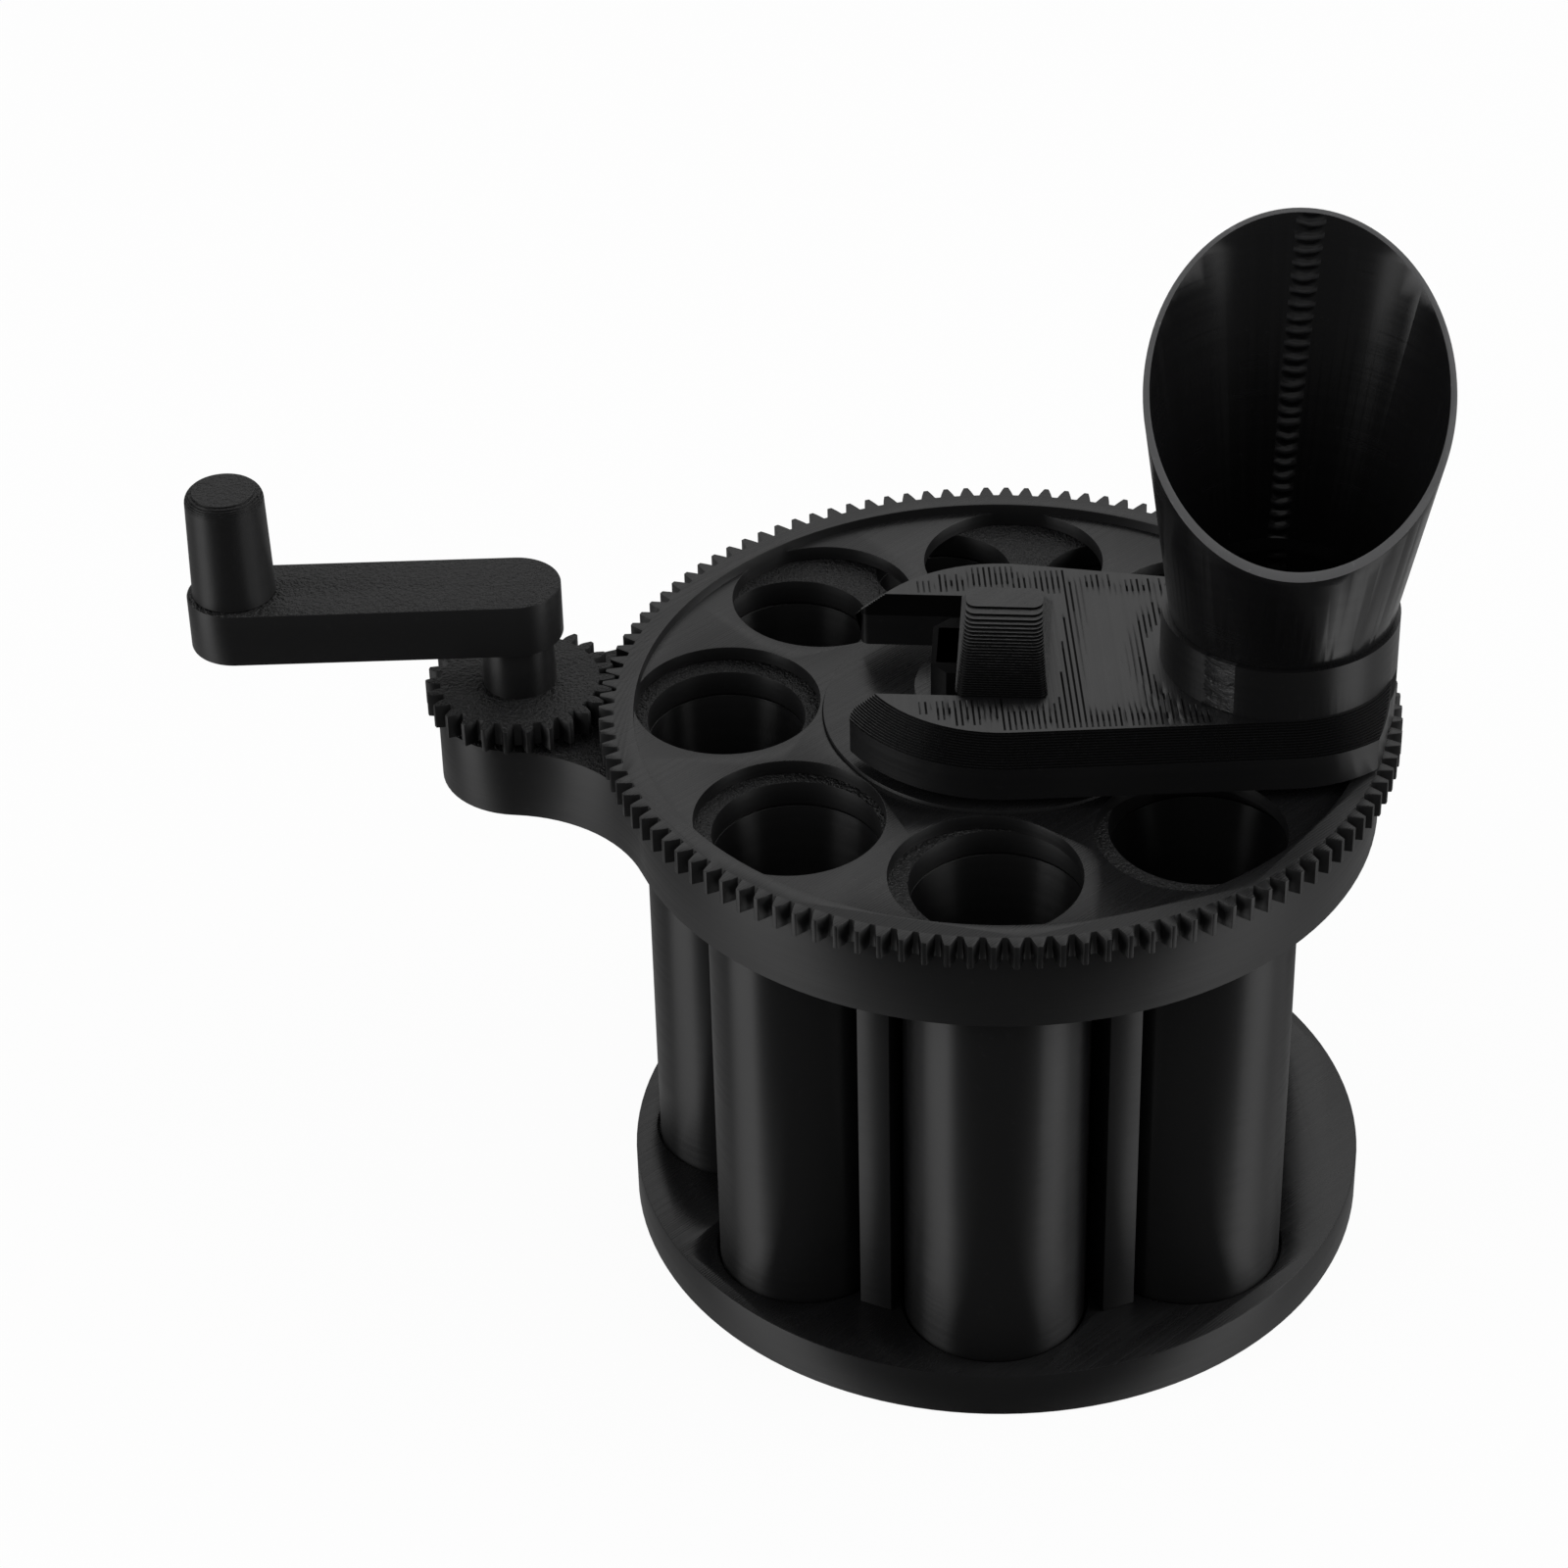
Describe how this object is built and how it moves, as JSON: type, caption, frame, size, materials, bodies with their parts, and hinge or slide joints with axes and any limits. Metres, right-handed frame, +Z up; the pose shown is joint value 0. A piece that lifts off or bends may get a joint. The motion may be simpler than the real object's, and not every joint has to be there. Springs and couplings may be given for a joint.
{
  "type": "coin counter jar",
  "caption": "Hand-cranked coin sorter: a slanted funnel over a toothed rotor with round pockets, which drops each coin into a tube of its size.",
  "frame": {"origin": "centre of the base plate's underside, on the rotor's axis", "axes": "+Z up along the rotor's axis, +X from that axis towards the funnel, the crank lies towards -X"},
  "size_m": [0.1849, 0.12, 0.164],
  "materials": {
    "black_print": "printed in layers, satin",
    "black_tube": "thin printed wall, satin gloss",
    "steel": "plain"
  },
  "bodies": {
    "base": {"base_plate": "black_print", "coin_tube_1": "black_tube", "coin_tube_2": "black_tube", "coin_tube_3": "black_tube", "coin_tube_4": "black_tube", "coin_tube_5": "black_tube", "coin_tube_6": "black_tube", "coin_tube_7": "black_tube", "coin_tube_8": "black_tube", "column": "black_print", "base_screws": "steel"},
    "head": {"head_plate": "black_print", "hub": "black_print", "hub_screws": "steel"},
    "rotor": {"rotor": "black_print"},
    "arm": {"hopper_arm": "black_print"},
    "funnel": {"funnel": "black_print"},
    "key": {"lock_key": "black_print"},
    "crank": {"pinion": "black_print", "crank_shaft": "black_print", "shaft_clip": "steel", "crank_arm": "black_print", "knob_pin": "steel"},
    "knob": {"crank_knob": "black_print"}
  },
  "joints": [
    {"name": "head_lift", "type": "slide", "parent": "base", "child": "head", "axis": [0, 0, 1], "range_m": [0, 0.02]},
    {"name": "rotor_spin", "type": "hinge", "parent": "head", "child": "rotor", "pos_m": [0, 0, 0.0874], "axis": [0, 0, 1], "continuous": true},
    {"name": "crank_turn", "type": "hinge", "parent": "head", "child": "crank", "pos_m": [-0.07227, 0.00581, 0.0874], "axis": [0, 0, 1], "continuous": true},
    {"name": "knob_spin", "type": "hinge", "parent": "crank", "child": "knob", "pos_m": [-0.1134, 0.00344, 0.1089], "axis": [0, 0, 1], "continuous": true},
    {"name": "arm_lift", "type": "slide", "parent": "head", "child": "arm", "axis": [0, 0, 1], "range_m": [0, 0.015]},
    {"name": "key_pull", "type": "slide", "parent": "arm", "child": "key", "axis": [0, 0, 1], "range_m": [0, 0.014]},
    {"name": "funnel_pull", "type": "slide", "parent": "arm", "child": "funnel", "axis": [0, 0, 1], "range_m": [0, 0.014]}
  ],
  "couplings": [
    {"joint": "crank_turn", "follows": "rotor_spin", "ratio": -4.4615}
  ]
}
